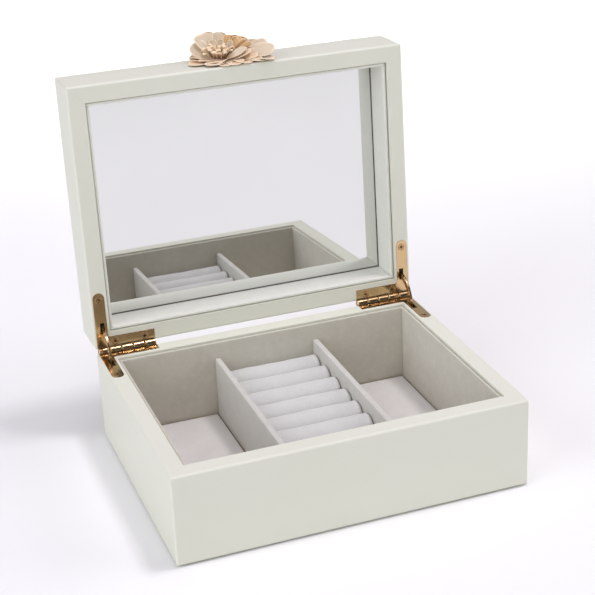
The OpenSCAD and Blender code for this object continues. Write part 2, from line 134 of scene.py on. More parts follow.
soft_light("key_light", side=(0.25, -0.03, 1), distance=2.5, size=0.37, power=15.5, tint=(1, 0.97, 1.02))
soft_light("overhead_light", side=(0, 0, 1), distance=2.6, size=2.3, power=22.8, tint=(1, 0.9, 1.05))
soft_light("back_light", side=(0.3, 1.3, 0.62), distance=2.6, size=2.4, power=7)
soft_light("backdrop_light", side=(0, 0, 1), distance=1.7, size=0.6, power=2.6, aim=(0.3, 1.05, 0), spread=45)
soft_light("left_light", side=(-1, -0.25, 0.5), distance=2.4, size=1.95, power=32, tint=(0.97, 1, 1.05))
soft_light("right_light", side=(1, -0.25, 0.5), distance=2.4, size=1.95, power=26.5)
soft_light("front_light", side=(-0.3, -1, 0.45), distance=2.4, size=1.7, power=9.2)
dim_room(0.08)
bpy.context.scene.view_settings.view_transform = "Standard"


# Shader nodes
def group(name, values, results):
    """New shader node group with named values going in and named results coming out."""
    tree = bpy.data.node_groups.new(name, "ShaderNodeTree")
    for label, value in values.items():
        socket = tree.interface.new_socket(label, in_out="INPUT", socket_type="NodeSocketFloat")
        socket.default_value = value
    for label in results:
        tree.interface.new_socket(label, in_out="OUTPUT", socket_type="NodeSocketFloat")
    return tree, tree.nodes.new("NodeGroupInput"), tree.nodes.new("NodeGroupOutput")


def add(tree, kind, links=None, **settings):
    """New node; links fill its inputs with a value or another node's output."""
    made = tree.nodes.new("ShaderNode" + kind)
    for label, value in settings.items():
        setattr(made, label, value)
    for label, value in (links or {}).items():
        if isinstance(value, bpy.types.NodeSocket):
            tree.links.new(value, made.inputs[label])
        else:
            made.inputs[label].default_value = value
    return made


def maths(tree, operation, first, second=0.0, third=0.0):
    """Result of one sum."""
    return add(tree, "Math", {0: first, 1: second, 2: third}, operation=operation).outputs[0]


def own_place(tree):
    """Place on the object, in metres."""
    return add(tree, "TexCoord").outputs["Object"]


def speckle(tree, place, scale, detail, roughness=0.5):
    """Noise from 0 to 1 with this many swells to the metre."""
    links = {"Vector": place, "Scale": scale, "Detail": detail, "Roughness": roughness}
    return add(tree, "TexNoise", links).outputs["Fac"]


def two_tones(tree, factor, low, high):
    """Colour between two, each fixed or another node's."""
    links = {"Factor": factor, "A": low, "B": high}
    return add(tree, "Mix", links, data_type="RGBA").outputs["Result"]


def bump(tree, shader, height, strength, distance):
    """Small relief on the surface, this deep in metres."""
    made = add(tree, "Bump", {"Height": height, "Strength": strength, "Distance": distance})
    tree.links.new(made.outputs[0], shader.inputs["Normal"])


def make_weave():
    """Plain weave of crossing threads, a little uneven."""
    values = {"Threads per metre": 1600.0, "Unevenness": 0.4}
    tree, given, out = group("plain_weave", values, ["Height", "Tone"])
    place = own_place(tree)
    wobble = add(tree, "TexNoise", {"Vector": place, "Scale": 260.0, "Detail": 2.0}).outputs["Color"]
    shift = add(tree, "VectorMath", {0: wobble, "Scale": 0.6 * MM}, operation="SCALE").outputs[0]
    moved = add(tree, "VectorMath", {0: place, 1: shift}, operation="ADD").outputs[0]
    parts = add(tree, "SeparateXYZ", {"Vector": moved})
    waves = []
    for axis in "XYZ":
        turn = maths(tree, "MULTIPLY", parts.outputs[axis], given.outputs["Threads per metre"])
        waves.append(maths(tree, "SINE", maths(tree, "MULTIPLY", turn, 2 * math.pi)))
    all_waves = maths(tree, "ADD", maths(tree, "ADD", waves[0], waves[1]), waves[2])
    crossing = maths(tree, "MULTIPLY_ADD", all_waves, 0.16, 0.5)
    blotch = speckle(tree, place, 110.0, 4.0, 0.92)
    mixed = add(tree, "Mix", {0: given.outputs["Unevenness"], 2: crossing, 3: blotch})
    tree.links.new(crossing, out.inputs["Height"])
    tree.links.new(mixed.outputs[0], out.inputs["Tone"])
    return tree


def make_nap():
    """Short pile that lies in soft patches, with fine fibres."""
    tree, given, out = group("velvet_nap", {"Patch size": 1.0}, ["Height", "Tone"])
    place = own_place(tree)
    patches = speckle(tree, place, maths(tree, "DIVIDE", 55.0, given.outputs["Patch size"]), 3.0, 0.55)
    fibres = speckle(tree, place, 1300.0, 3.0, 0.75)
    for result, fibre_share in (("Height", 0.75), ("Tone", 0.6)):
        under = maths(tree, "MULTIPLY", patches, 1 - fibre_share)
        tree.links.new(maths(tree, "MULTIPLY_ADD", fibres, fibre_share, under), out.inputs[result])
    return tree


# Edge mask: it places the lacquer's rubbed edges and the painted shade on the plate's edges.
def make_edge_wear_and_shade():
    """1 on the very edges of a board or plate, 0 on its faces, broken up by noise."""
    tree, given, out = group("edge_wear_and_shade", {"Width": 0.6 * MM, "Breaks": 300.0}, ["Mask"])
    rounded = add(tree, "Bevel", {"Radius": given.outputs["Width"]}, samples=6).outputs[0]
    normal = add(tree, "NewGeometry").outputs["Normal"]
    meet = add(tree, "VectorMath", {0: rounded, 1: normal}, operation="DOT_PRODUCT").outputs["Value"]
    ends = {"Value": meet, "From Min": 1.0, "From Max": 0.9, "To Min": 0.0, "To Max": 1.0}
    edge = add(tree, "MapRange", ends).outputs[0]
    broken = speckle(tree, own_place(tree), given.outputs["Breaks"], 3.0)
    tree.links.new(maths(tree, "MULTIPLY", edge, broken), out.inputs["Mask"])
    return tree


WEAVE, NAP, EDGE_WEAR_AND_SHADE = make_weave(), make_nap(), make_edge_wear_and_shade()


def use(tree, group_tree, values):
    """Places a node group in a material with its own values."""
    made = tree.nodes.new("ShaderNodeGroup")
    made.node_tree = group_tree
    for label, value in values.items():
        made.inputs[label].default_value = value
    return made


# Finishes
def finish_named(name, **sockets):
    """New material; sockets are the shader's own fixed values."""
    material = bpy.data.materials.new(name)
    material.use_nodes = True
    tree = material.node_tree
    shader = tree.nodes["Principled BSDF"]
    for label, value in sockets.items():
        shader.inputs[label.replace("_", " ").title().replace("Ior", "IOR")].default_value = value
    return material, tree, shader


def lacquer():
    """Satin paint over board: faintly cloudy, with fine peel and rubbed edges."""
    material, tree, shader = finish_named("ivory_lacquer", coat_weight=0.08, coat_roughness=0.35)
    place = own_place(tree)
    cloudy = speckle(tree, place, 14.0, 5.0, 0.6)
    peel = speckle(tree, place, 700.0, 2.0)
    coat = two_tones(tree, cloudy, rgb(221, 222, 207), rgb(228, 228, 216))
    worn_and_shaded_edge = use(tree, EDGE_WEAR_AND_SHADE, {"Width": 0.7 * MM, "Breaks": 240.0}).outputs["Mask"]
    rubbed = two_tones(tree, maths(tree, "MULTIPLY", worn_and_shaded_edge, 0.35), coat, rgb(200, 196, 180))
    tree.links.new(rubbed, shader.inputs["Base Color"])
    tree.links.new(maths(tree, "MULTIPLY_ADD", cloudy, 0.12, 0.5), shader.inputs["Roughness"])
    bump(tree, shader, peel, 0.12, 0.1 * MM)
    return material


def cloth(name, low, high, threads=2400.0, unevenness=0.5):
    """Matt woven cloth of two close tones."""
    material, tree, shader = finish_named(name, roughness=0.92, specular_ior_level=0.2,
                                          sheen_weight=0.25, sheen_roughness=0.5)
    weave = use(tree, WEAVE, {"Threads per metre": threads, "Unevenness": unevenness})
    tree.links.new(two_tones(tree, weave.outputs["Tone"], low, high), shader.inputs["Base Color"])
    bump(tree, shader, weave.outputs["Height"], 0.4, 0.2 * MM)
    return material


# Name of the map that tells how far along and across its cut cloth each place of a petal lies
CLOTH_MAP = "along_and_across"


def petal_cloth(name, root, middle, edge_highlight, root_end):
    """Dyed cloth, darker from the petal's root up to root_end, partly dye and partly painted shade, with a
    paler cut edge that is a painted highlight.
    """
    material, tree, shader = finish_named(name, roughness=0.8, specular_ior_level=0.25, sheen_weight=0.2)
    marks = add(tree, "UVMap", uv_map=CLOTH_MAP).outputs["UV"]
    parts = add(tree, "SeparateXYZ", {"Vector": marks})
    along, across = parts.outputs["X"], parts.outputs["Y"]
    past_root = add(tree, "MapRange", {"Value": along, "From Max": root_end}, interpolation_type="SMOOTHSTEP")
    off_middle = maths(tree, "ABSOLUTE", maths(tree, "SUBTRACT", across, 0.5))
    side_edge = add(tree, "MapRange", {"Value": off_middle, "From Min": 0.38, "From Max": 0.5}).outputs[0]
    tip_edge = add(tree, "MapRange", {"Value": along, "From Min": 0.93, "From Max": 1.0}).outputs[0]
    edge = maths(tree, "MAXIMUM", side_edge, tip_edge)
    veins = add(tree, "Mapping", {"Vector": marks, "Scale": (3.0, 26.0, 1.0)}).outputs[0]
    streaks = speckle(tree, veins, 1.0, 3.0)
    weave = use(tree, WEAVE, {"Threads per metre": 2400.0, "Unevenness": 0.6})
    uneven = maths(tree, "MULTIPLY", past_root.outputs[0], maths(tree, "MULTIPLY_ADD", streaks, 0.7, 0.65))
    # The root colour is partly the dye and partly painted shade where the petals crowd at the flower's heart.
    body = two_tones(tree, uneven, root, middle)
    # Painted highlight: the cut edge paler.
    painted_edge = two_tones(tree, maths(tree, "MULTIPLY", edge, 0.7), body, edge_highlight)
    tree.links.new(painted_edge, shader.inputs["Base Color"])
    relief = maths(tree, "MULTIPLY_ADD", streaks, 0.6, weave.outputs["Height"])
    bump(tree, shader, relief, 0.35, 0.2 * MM)
    return material


def velvet(name, low, high, patch=1.0):
    """Soft pile that catches the light at a slant."""
    material, tree, shader = finish_named(name, roughness=0.95, specular_ior_level=0.15,
                                          sheen_weight=0.6, sheen_roughness=0.4)
    nap = use(tree, NAP, {"Patch size": patch})
    tree.links.new(two_tones(tree, nap.outputs["Tone"], low, high), shader.inputs["Base Color"])
    bump(tree, shader, nap.outputs["Height"], 0.6, 0.3 * MM)
    return material


def rose_gold(name, low, high):
    """Polished plate with rounded edges; painted shade darkens its edges, grooves and gaps, which are also
    rougher.
    """
    material, tree, shader = finish_named(name, metallic=1.0)
    smear = speckle(tree, own_place(tree), 320.0, 4.0, 0.6)
    plate = two_tones(tree, smear, low, high)
    # Painted shade: the plate darkens to dark brown along its edges.
    worn_and_shaded_edge = use(tree, EDGE_WEAR_AND_SHADE, {"Width": 0.3 * MM, "Breaks": 900.0}).outputs["Mask"]
    painted_edge = two_tones(tree, maths(tree, "MULTIPLY", worn_and_shaded_edge, 0.75), plate, rgb(104, 70, 44))
    # Painted shade: the plate turns deep brown where nearby parts hem it in, in grooves, slots and knuckle
    # gaps; these places are rougher too.
    open_sky = add(tree, "AmbientOcclusion", {"Distance": 1.5 * MM}, samples=8).outputs["AO"]
    unshaded = add(tree, "MapRange", {"Value": open_sky, "From Min": 0.45, "From Max": 0.92}).outputs[0]
    tree.links.new(two_tones(tree, unshaded, rgb(62, 34, 20), painted_edge), shader.inputs["Base Color"])
    crevice_roughness = maths(tree, "MULTIPLY_ADD", smear, 0.14, 0.45)
    tree.links.new(maths(tree, "MULTIPLY_ADD", unshaded, -0.37, crevice_roughness), shader.inputs["Roughness"])
    rounded = add(tree, "Bevel", {"Radius": 0.35 * MM}, samples=6).outputs[0]
    ripple = add(tree, "Bump", {"Height": smear, "Strength": 0.12, "Distance": 0.3 * MM, "Normal": rounded})
    tree.links.new(ripple.outputs[0], shader.inputs["Normal"])
    return material


def mirror_glass():
    """Silvered glass, with a painted shadow line where it meets the lining."""
    material, tree, shader = finish_named("mirror_glass", metallic=1.0)
    place = own_place(tree)
    haze = speckle(tree, place, 18.0, 5.0)
    silver = two_tones(tree, haze, rgb(228, 229, 227), rgb(235, 236, 234))
    from_hinge = add(tree, "VectorMath", {0: place, 1: HINGE_AXIS}, operation="SUBTRACT").outputs[0]
    shut_place = add(tree, "Mapping", {"Vector": from_hinge, "Rotation": (LID_OPEN, 0, 0)}).outputs[0]
    parts = add(tree, "SeparateXYZ", {"Vector": shut_place})
    # The glass shows between the linings, this far from its middle each way
    half_x = shut_box("lid_right_lining")[0].x
    half_y = -shut_box("lid_front_lining")[1].y
    from_middle_x = maths(tree, "ABSOLUTE", parts.outputs["X"])
    from_middle_y = maths(tree, "ABSOLUTE", maths(tree, "ADD", parts.outputs["Y"], HINGE_AXIS.y))
    off_x = maths(tree, "SUBTRACT", half_x, from_middle_x)
    off_y = maths(tree, "SUBTRACT", half_y, from_middle_y)
    # Painted shadow: a dark grey line along the glass where the lining meets it.
    ends = {"Value": maths(tree, "MINIMUM", off_x, off_y), "From Min": 0.3 * MM, "From Max": 0.8 * MM}
    clear_of_shadow_line = add(tree, "MapRange", ends).outputs[0]
    tree.links.new(two_tones(tree, clear_of_shadow_line, rgb(96, 90, 88), silver), shader.inputs["Base Color"])
    tree.links.new(maths(tree, "MULTIPLY_ADD", haze, 0.012, 0.004), shader.inputs["Roughness"])
    return material


def fibreboard():
    """Bare board with a fine grit."""
    material, tree, shader = finish_named("raw_fibreboard", roughness=0.85)
    grit = speckle(tree, own_place(tree), 900.0, 4.0, 0.7)
    tree.links.new(two_tones(tree, grit, rgb(168, 140, 104), rgb(192, 166, 128)), shader.inputs["Base Color"])
    bump(tree, shader, grit, 0.3, 0.2 * MM)
    return material


LACQUER = lacquer()
LINING = cloth("grey_lining_cloth", rgb(187, 182, 169), rgb(222, 218, 206), unevenness=0.65)
LID_LINING = cloth("pale_lid_lining_cloth", rgb(222, 223, 214), rgb(237, 237, 228))
DIVIDER = cloth("divider_cloth", rgb(187, 184, 176), rgb(219, 217, 211), unevenness=0.65)
PAD_VELVET = velvet("pad_velvet", rgb(212, 209, 205), rgb(247, 246, 241))
ROLL_VELVET = velvet("roll_velvet", rgb(190, 189, 186), rgb(226, 226, 223))
DISC_FELT = cloth("flower_disc_felt", rgb(196, 168, 138), rgb(216, 190, 160), 700.0, 0.8)
FELT = cloth("dark_felt", rgb(70, 66, 62), rgb(92, 87, 82), 700.0, 0.8)
ROSE_GOLD = rose_gold("rose_gold_plate", rgb(204, 172, 126), rgb(218, 189, 146))
# The screws take a darker copy of the plate's tones: painted shade on the screw heads.
SHADED_SCREW_GOLD = rose_gold("rose_gold_screws", rgb(188, 152, 108), rgb(206, 174, 132))
MIRROR = mirror_glass()
BOARD = fibreboard()
# Petal cloths: root colour, partly painted shade at the flower's heart; middle; cut edge, a painted
# highlight; and how far the root colour reaches.
PEACH = petal_cloth("peach_petal_cloth", rgb(142, 92, 50), rgb(234, 207, 174), rgb(255, 243, 222), 0.74)
PALE = petal_cloth("pale_petal_cloth", rgb(168, 128, 84), rgb(218, 201, 176), rgb(250, 234, 208), 0.52)
GOLDEN = petal_cloth("golden_petal_cloth", rgb(150, 98, 48), rgb(228, 190, 142), rgb(250, 226, 190), 0.66)
CREAM = petal_cloth("cream_curl_cloth", rgb(140, 94, 54), rgb(246, 220, 184), rgb(254, 240, 214), 0.7)


def paint(thing, material):
    """Gives an object one finish all over."""
    thing.data.materials.clear()
    thing.data.materials.append(material)


for name, thing in cad.items():
    if "wall" in name or "top_panel" in name:
        paint(thing, LACQUER)
    elif "lining" in name:
        paint(thing, LID_LINING if name.startswith("lid") else LINING)
    elif "divider" in name:
        paint(thing, DIVIDER)
    elif "floor_pad" in name:
        paint(thing, PAD_VELVET)
    elif "ring_roll" in name:
        paint(thing, ROLL_VELVET)
    elif name == "mirror":
        paint(thing, MIRROR)
    elif name == "bottom_felt":
        paint(thing, FELT)
    elif "flower" in name:
        paint(thing, PEACH)
    elif name in ("base_bottom_panel", "mirror_backing", "roll_base"):
        paint(thing, BOARD)
    else:
        paint(thing, SHADED_SCREW_GOLD if "screws" in name else ROSE_GOLD)


# Modelling helpers
def pick_only(thing):
    """Selects one object alone and makes it the active one."""
    bpy.ops.object.select_all(action="DESELECT")
    thing.select_set(True)
    bpy.context.view_layer.objects.active = thing


def fresh(name, operator, **settings):
    """New primitive, alone selected and named."""
    bpy.ops.object.select_all(action="DESELECT")
    operator(**settings)
    thing = bpy.context.object
    thing.name = thing.data.name = name
    return thing


def settle(thing):
    """Puts the object's place, turn and size into its mesh."""
    pick_only(thing)
    bpy.ops.object.transform_apply(location=True, rotation=True, scale=True)


def edit(thing, *steps):
    """Runs each step in edit mode on what its test picks: (mode, test, operator, settings)."""
    pick_only(thing)
    for mode, test, operator, settings in steps:
        bpy.ops.object.mode_set(mode="EDIT")
        bpy.ops.mesh.select_mode(type=mode)
        bpy.ops.mesh.select_all(action="DESELECT")
        shape = bmesh.from_edit_mesh(thing.data)
        parts = {"VERT": shape.verts, "EDGE": shape.edges, "FACE": shape.faces}[mode]
        for part in parts:
            part.select_set(bool(test(part)))
        bmesh.update_edit_mesh(thing.data)
        operator(**settings)
        bpy.ops.object.mode_set(mode="OBJECT")


def modify(thing, kind, **settings):
    """Adds a modifier and applies it."""
    pick_only(thing)
    made = thing.modifiers.new(kind.lower(), kind)
    for label, value in settings.items():
        setattr(made, label, value)
    bpy.ops.object.modifier_apply(modifier=made.name)


def smooth(thing, angle):
    """Smooth shading, with a sharp line where faces meet at more than this angle in degrees."""
    pick_only(thing)
    bpy.ops.object.shade_smooth_by_angle(angle=math.radians(angle))


def joined(name, things):
    """One object of several."""
    pick_only(things[0])
    for thing in things:
        thing.select_set(True)
    bpy.ops.object.join()
    whole = bpy.context.object
    whole.name = whole.data.name = name
    return whole


def runs_along(axis, least):
    """Test for edges that run further than this along an axis."""
    return lambda edge: abs(edge.verts[0].co[axis] - edge.verts[1].co[axis]) > least


def faces_along(axis):
    """Test for faces that look along an axis, either way."""
    return lambda face: abs(face.normal[axis]) > 0.9


# Ring rolls: velvet drawn round foam and tucked in at the ends
def ring_roll(number, seed):
    """Velvet roll a little proud of its solid, with slack waves and small pleats at its ends."""
    end_proud, side_proud, flat_middle = 0.35 * MM, 0.15 * MM, 3 * MM
    long_wave, short_wave, pleats, pleat_reach = 37 * MM, 13 * MM, 22, 2.5 * MM
    node = "ring_roll_%d" % number
    low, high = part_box(node)
    middle = (low + high) / 2
    half_x = (high.x - low.x) / 2 + end_proud
    radius = (high.y - low.y) / 2 + side_proud
    axis_z = high.z - radius
    roll = fresh("velvet_" + node, bpy.ops.mesh.primitive_cylinder_add, vertices=96, radius=radius,
                 depth=2 * half_x, rotation=(0, math.pi / 2, 0), location=(middle.x, middle.y, axis_z))
    settle(roll)
    is_end = faces_along(0)

    def on_rim(edge):
        ends = [is_end(face) for face in edge.link_faces]
        return len(ends) == 2 and any(ends) and not all(ends)

    edit(roll,
         ("EDGE", runs_along(0, half_x), bpy.ops.mesh.subdivide, dict(number_cuts=30)),
         ("EDGE", on_rim, bpy.ops.mesh.bevel, dict(offset=1.5 * MM, segments=5, profile=0.55)),
         ("FACE", is_end, bpy.ops.mesh.inset, dict(thickness=1.6 * MM, depth=-0.25 * MM)),
         ("FACE", is_end, bpy.ops.mesh.inset, dict(thickness=2.2 * MM, depth=0.15 * MM)))
    chance = random.Random(seed)
    phase = [chance.uniform(0, 6.28) for _ in range(4)]
    for vert in roll.data.vertices:
        out = Vector((0, vert.co.y - middle.y, vert.co.z - axis_z))
        if out.length < flat_middle:
            continue
        angle = math.atan2(out.y, out.z)
        turn = 2 * math.pi * (vert.co.x - middle.x)
        from_end = half_x - abs(vert.co.x - middle.x)
        # Depths in millimetres
        sag = 0.1 * math.sin(turn / long_wave + phase[0] + 1.5 * math.sin(angle + phase[1]))
        sag += 0.06 * math.sin(turn / short_wave + phase[2] + 2 * angle)
        pleat = 0.1 * math.sin(pleats * angle + phase[3]) * math.exp(-from_end / pleat_reach)
        vert.co += out.normalized() * (sag + pleat - 0.12) * MM
        vert.co.y = min(max(vert.co.y, low.y), high.y)
        vert.co.z = max(vert.co.z, low.z)
    paint(roll, ROLL_VELVET)
    smooth(roll, 60)
    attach(roll, "base")
    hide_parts(node)


# Floor pads: velvet over a thin wad
def swell(pad, held):
    """Blows up a closed cloth shape with a cloth run; the held points keep their place."""
    bottom = pad.vertex_groups.new(name="bottom")
    bottom.add(held, 1.0, "REPLACE")
    cloth_run = pad.modifiers.new("swell", "CLOTH")
    cloth_run.settings.quality = 4
    cloth_run.settings.mass = 0.3
    cloth_run.settings.use_pressure = True
    cloth_run.settings.uniform_pressure_force = 3.0
    cloth_run.settings.effector_weights.gravity = 0
    cloth_run.settings.vertex_group_mass = bottom.name
    cloth_run.collision_settings.use_collision = False
    for step in range(1, 16):
        bpy.context.scene.frame_set(step)
    pick_only(pad)
    bpy.ops.object.modifier_apply(modifier=cloth_run.name)
    bpy.context.scene.frame_set(1)


def floor_pad(side):
    """Thin pad crowned in the shape that a cloth run at ten times its size gives."""
    grow, pad_thick = 10, 1.4 * MM
    node = side + "_floor_pad"
    low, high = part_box(node)
    size, middle = high - low, (low + high) / 2
    pad = fresh(side + "_velvet_pad", bpy.ops.mesh.primitive_cube_add, size=1, location=(0, 0, 0))
    pad.scale = (size.x * grow, size.y * grow, pad_thick * grow)
    settle(pad)

    def on_top(edge):
        return all(vert.co.z > 0 for vert in edge.verts)

    edit(pad,
         ("EDGE", runs_along(2, 5 * MM), bpy.ops.mesh.bevel, dict(offset=1.2 * MM * grow, segments=3)),
         ("EDGE", on_top, bpy.ops.mesh.bevel, dict(offset=0.5 * MM * grow, segments=2)))
    modify(pad, "REMESH", mode="VOXEL", voxel_size=1.1 * MM * grow)
    flat = [vert.co.copy() for vert in pad.data.vertices]
    swell(pad, [number for number, start in enumerate(flat) if start.z < -0.3 * MM * grow])
    lift = [max(0.0, vert.co.z - start.z) for vert, start in zip(pad.data.vertices, flat)]
    most_lift = max(lift) or 1.0
    crown = (size.z - pad_thick) * grow * 0.9
    for vert, start, rise in zip(pad.data.vertices, flat, lift):
        if start.z > 0:
            start.z += crown * (rise / most_lift) ** 0.6
        vert.co = start / grow + Vector((middle.x, middle.y, low.z + pad_thick / 2))
    modify(pad, "SMOOTH", factor=0.5, iterations=4)
    modify(pad, "SUBSURF", levels=1, render_levels=1)
    drop = low.z - min(vert.co.z for vert in pad.data.vertices)
    for vert in pad.data.vertices:
        vert.co.z += drop
    paint(pad, PAD_VELVET)
    smooth(pad, 60)
    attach(pad, "base")
    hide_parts(node)


# Boards covered in cloth
def cloth_board(node, body, finish, edge, unevenness, seed):
    """Board with soft corners, where the card shows through, and a face that lies a little uneven."""
    low, high = shut_box(node) if body == "lid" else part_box(node)
    size, middle = high - low, (low + high) / 2
    thin = min(range(3), key=lambda axis: size[axis])
    board = fresh("covered_" + node, bpy.ops.mesh.primitive_cube_add, size=1, location=middle, scale=size)
    settle(board)
    edit(board, ("EDGE", lambda line: True, bpy.ops.mesh.bevel, dict(offset=edge, segments=4)))
    for axis in range(3):
        if axis != thin:
            cuts = round(size[axis] / (2.6 * MM))
            straight = runs_along(axis, 0.7 * size[axis])
            edit(board, ("EDGE", straight, bpy.ops.mesh.subdivide, dict(number_cuts=cuts)))
    for vert in board.data.vertices:
        spot = vert.co + Vector((seed, 0, 0))
        slack = noise.noise(spot * 60) + 0.5 * noise.noise(spot * 210)
        inward = 1 if vert.co[thin] < middle[thin] else -1
        vert.co[thin] += inward * unevenness * (0.75 + 0.5 * slack)
        if body == "lid":
            vert.co = swing_open(vert.co)
    paint(board, finish)
    smooth(board, 50)
    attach(board, body)
    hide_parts(node)
    return board


def felt_sheet():
    """Felt under the bottom panel."""
    felt = cloth_board("bottom_felt", "base", FELT, 0.15 * MM, 0.04 * MM, 9)


# Flower: its frame has x to the right, y towards the lid's top and z off the lid's front face.
# Its middle is given with the lid shut
FLOWER_AT = Vector((-1 * MM, -70 * MM, 61.6 * MM))


def felt_disc():
    """Disc of felt that the petals are sewn to, glued on the lid."""
    low, high = shut_box("flower_backing")
    disc = fresh("flower_felt_disc", bpy.ops.mesh.primitive_cylinder_add, vertices=72,
                 radius=(high.x - low.x) / 2, depth=high.y - low.y,
                 rotation=(math.pi / 2, 0, 0), location=(low + high) / 2)
    settle(disc)
    is_flat = faces_along(1)

    def on_rim(edge):
        return any(is_flat(face) for face in edge.link_faces)

    edit(disc,
         ("EDGE", on_rim, bpy.ops.mesh.bevel, dict(offset=0.2 * MM, segments=3)),
         ("FACE", is_flat, bpy.ops.mesh.inset, dict(thickness=2 * MM)),
         ("FACE", is_flat, bpy.ops.mesh.inset, dict(thickness=3 * MM)))
    for vert in disc.data.vertices:
        vert.co = swing_open(vert.co)
    paint(disc, DISC_FELT)
    smooth(disc, 40)
    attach(disc, "lid")
    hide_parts("flower_backing")


def off_lid(x, y, z):
    """Point of the flower's frame, in millimetres, placed on the open lid."""
    return swing_open(FLOWER_AT + Vector((x, -z, y)) * MM)


# Each petal: cloth, root, middle and tip in the flower's frame, the way its width runs,
# its width, how blunt its end is, how far its edge waves, and how far it cups (millimetres)
UNDER_PETALS = [
    (PEACH, (-2, -2, 0.6), (-12, -2.5, 0.5), (-22.6, -2.8, 1.0), (0.1, 1, 0), 12, 0.42, 0.5, 0.6),
    (PEACH, (-2, -3, 0.5), (-8, -8, 0.8), (-15.4, -10.6, 1.3), (0.7, -0.7, 0), 10.5, 0.5, 0.4, 0.5),
    (PEACH, (-2, -3, 0.5), (-5, -9, 0.6), (-7.6, -13.8, 0.5), (0.9, -0.4, 0), 9, 0.5, 0.4, 0.5),
    (PEACH, (-1, -3, 0.6), (-1, -9, 0.8), (-0.6, -14.6, 0.5), (1, 0, 0), 9.5, 0.6, 0.4, 0.4),
    (PEACH, (0, -3, 0.6), (4, -9, 0.8), (7.2, -14.2, 0.6), (0.85, 0.5, 0), 10, 0.5, 0.5, 0.5),
    (PEACH, (1, -2, 0.7), (9, -7, 0.9), (15.5, -13, 0.5), (0.65, 0.75, 0), 11, 0.5, 0.3, 0.3),
    (PEACH, (2, -1, 0.8), (11, -4, 0.9), (20, -6.6, 0.8), (0.3, 0.95, 0.04), 11, 0.5, 0.4, 0.4),
    (PEACH, (2, 1, 0.8), (11, 2, 1.6), (20, 3.4, 3.2), (-0.2, 1, 0.1), 12, 0.6, 0.8, 0.9),
    (PEACH, (1, 2, 0.8), (8, 8, 1.6), (14.5, 12.5, 4.2), (-0.6, 0.8, 0.1), 12, 0.6, 0.8, 1.0),
    (PEACH, (0, 2, 0.8), (3, 9, 1.8), (5, 16.5, 5.2), (-0.95, 0.25, 0), 12, 0.6, 0.8, 1.0),
    (PEACH, (-2, 2, 0.8), (-5, 10, 1.6), (-7, 17.5, 4.8), (-0.95, -0.3, 0), 12, 0.6, 0.7, 1.0),
    (PEACH, (-3, 1, 0.7), (-10, 8, 1.2), (-15.5, 13.5, 3), (-0.6, -0.75, 0), 11.5, 0.6, 0.6, 0.8),
    (PEACH, (-3, 0, 0.7), (-12, 2.6, 1.0), (-20, 4, 1.6), (-0.15, -1, 0), 11.5, 0.6, 0.6, 0.7),
]
OVER_PETALS = [
    (PALE, (-4, 1, 1.4), (-11, 3.6, 2.6), (-16.6, 8.4, 9.0), (0.3, 0.6, 0.75), 11.5, 0.9, 0.45, 0.6),
    (PALE, (-3.4, 2, 1.4), (-7.6, 5.4, 5.4), (-11, 11.6, 13.0), (1, 0.1, -0.1), 15.4, 0.95, 0.4, 0.9),
    (PALE, (-2.4, 3, 1.6), (-3, 6.4, 5.8), (-1.6, 9.6, 13.3), (1, -0.1, 0), 9.6, 0.85, 0.45, 0.9),
    (GOLDEN, (-0.6, 2.5, 1.6), (1.6, 5, 6), (2.8, 6.4, 12), (1, -0.2, -0.05), 7.4, 0.7, 0.5, 0.9),
    (GOLDEN, (0.5, 2.2, 1.6), (4.4, 4.4, 5.4), (7, 6.0, 11.2), (0.95, -0.35, -0.1), 7.6, 0.7, 0.5, 1.1),
    (GOLDEN, (1, 1.5, 1.6), (7, 3.4, 4.4), (11, 5, 9.8), (0.75, -0.6, -0.1), 7.4, 0.7, 0.6, 1.3),
    (PALE, (2, 2, 1.6), (11, 4, 3.4), (16.5, 5, 8), (0.4, 0.8, 0.3), 9, 0.85, 0.6, 1.0),
    (PALE, (2, 0.5, 1.6), (12, 0, 4.6), (20.6, -1.6, 7.6), (0.2, 0.8, 0.5), 9.5, 0.9, 0.5, 0.9),
    (PALE, (2, -1, 1.8), (13, -4, 6.0), (21, -10.6, 4.4), (-0.1, -0.88, -0.46), 12, 0.85, 0.5, 0.5),
    (PALE, (2, -2, 1.5), (12, -8, 2.4), (19.8, -14.4, 1.0), (0.64, 0.72, 0.12), 9, 0.7, 0.4, 0.4),
    (PEACH, (2, -3.6, 1.3), (8, -9, 2.0), (14, -12.6, 1.2), (0.3, -0.9, -0.2), 5.5, 0.45, 0.4, 0.4),
    (PEACH, (-3, 0, 1.8), (-11, 3.6, 2.4), (-20, 5.6, 2.6), (0.32, 0.94, 0), 11, 0.55, 0.5, 0.6),
    (PEACH, (-3, -1.6, 1.6), (-10, -2.4, 1.8), (-17, -2.6, 2.0), (0.1, 0.95, 0), 8, 0.5, 0.4, 0.5),
    (PEACH, (-3, -3, 1.5), (-8, -6, 1.8), (-13.5, -8, 1.4), (0.5, -0.85, 0), 7, 0.5, 0.4, 0.4),
    (PEACH, (-1, -4, 1.9), (-4, -8, 2.6), (-9, -11.6, 1.2), (0.6, -0.6, 0.3), 3.6, 0.5, 0.2, 0.3),
    (PEACH, (0, -4, 1.6), (1.5, -8.6, 2.0), (3.2, -12.8, 1.1), (0.95, 0.2, 0.1), 5.5, 0.5, 0.3, 0.4),
]
